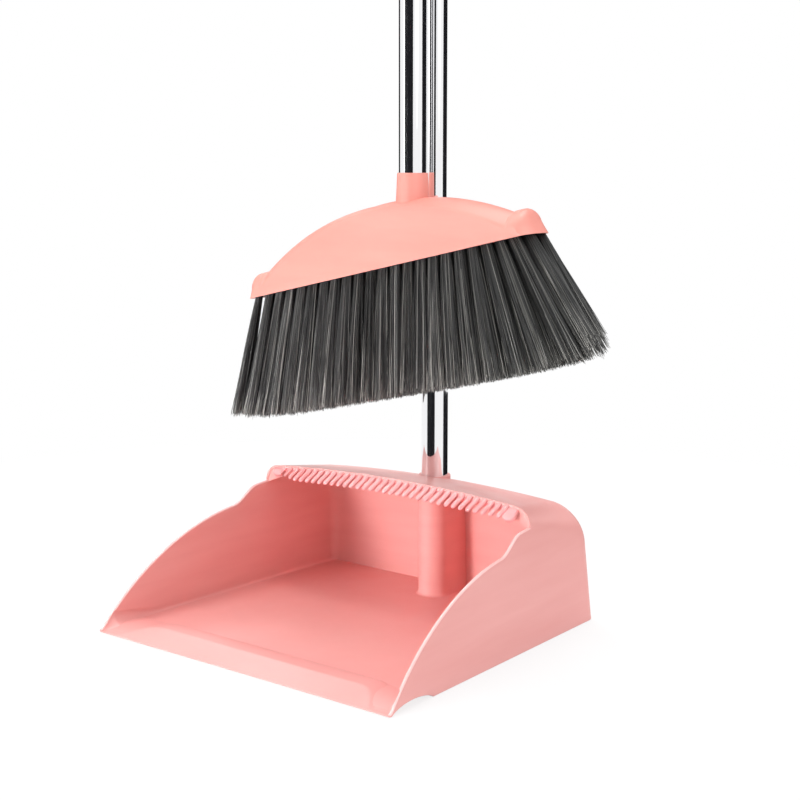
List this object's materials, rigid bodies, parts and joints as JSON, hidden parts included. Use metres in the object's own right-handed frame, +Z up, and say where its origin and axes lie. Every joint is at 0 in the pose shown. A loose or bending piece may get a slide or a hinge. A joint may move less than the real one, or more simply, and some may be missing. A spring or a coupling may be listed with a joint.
{
  "type": "dust pan and broom set",
  "caption": "Long-handled dust pan with a hood and hair comb, and an angled broom clipped to its pole; both poles telescope.",
  "frame": {"origin": "middle of the pan's footprint, on the floor it stands on", "axes": "+Z up along the poles, -Y towards the pan's open front, +X to the pan's right seen from the front"},
  "size_m": [0.3689, 0.27, 1.044],
  "materials": {
    "pan_plastic": "satin moulded",
    "comb_plastic": "satin moulded",
    "head_plastic": "satin moulded",
    "grip_plastic": "fine grained",
    "clip_plastic": "satin moulded",
    "block_plastic": "moulded",
    "polished_steel": "mirror polished tube",
    "screw_steel": "zinc plated",
    "white_nylon": "moulded",
    "dark_plastic": "moulded",
    "bristle": "drawn fibre"
  },
  "bodies": {
    "pan": {"pan_body": "pan_plastic", "hair_comb": "comb_plastic", "pan_pole_screw": "screw_steel", "pan_pole_plug": "white_nylon", "pan_tube_lower": "polished_steel", "pan_guide_bush": "dark_plastic"},
    "pan_slider": {"pan_lock_sleeve": "dark_plastic"},
    "pan_pole_top": {"pan_lock_cone": "white_nylon", "pan_tube_upper": "polished_steel", "pan_grip": "grip_plastic", "pan_end_cap": "grip_plastic"},
    "clip": {"broom_clip": "clip_plastic"},
    "broom": {"head_shell": "head_plastic", "tuft_block": "block_plastic", "tuft_row_1": "bristle", "tuft_row_2": "bristle", "tuft_row_3": "bristle", "tuft_row_4": "bristle", "broom_pole_screw": "screw_steel", "broom_pole_plug": "white_nylon", "broom_tube_lower": "polished_steel", "broom_guide_bush": "dark_plastic"},
    "broom_slider": {"broom_lock_sleeve": "dark_plastic"},
    "broom_pole_top": {"broom_lock_cone": "white_nylon", "broom_tube_upper": "polished_steel", "broom_grip": "grip_plastic", "broom_end_cap": "grip_plastic"}
  },
  "joints": [
    {"name": "broom_off", "type": "slide", "parent": "pan", "child": "broom", "axis": [0, -1, 0], "range_m": [0, 0.25]},
    {"name": "broom_pole_slide", "type": "slide", "parent": "broom", "child": "broom_slider", "axis": [0, 0, 1], "range_m": [-0.16, 0]},
    {"name": "broom_pole_twist", "type": "hinge", "parent": "broom_slider", "child": "broom_pole_top", "pos_m": [0, 0.074, 0.7], "axis": [0, 0, 1], "range_deg": [0, 90]},
    {"name": "pan_pole_slide", "type": "slide", "parent": "pan", "child": "pan_slider", "axis": [0, 0, 1], "range_m": [-0.12, 0]},
    {"name": "pan_pole_twist", "type": "hinge", "parent": "pan_slider", "child": "pan_pole_top", "pos_m": [0, 0.104, 0.3], "axis": [0, 0, 1], "range_deg": [0, 90]},
    {"name": "clip_slide", "type": "slide", "parent": "pan_slider", "child": "clip", "axis": [0, 0, 1], "range_m": [-0.06, 0.04]}
  ]
}
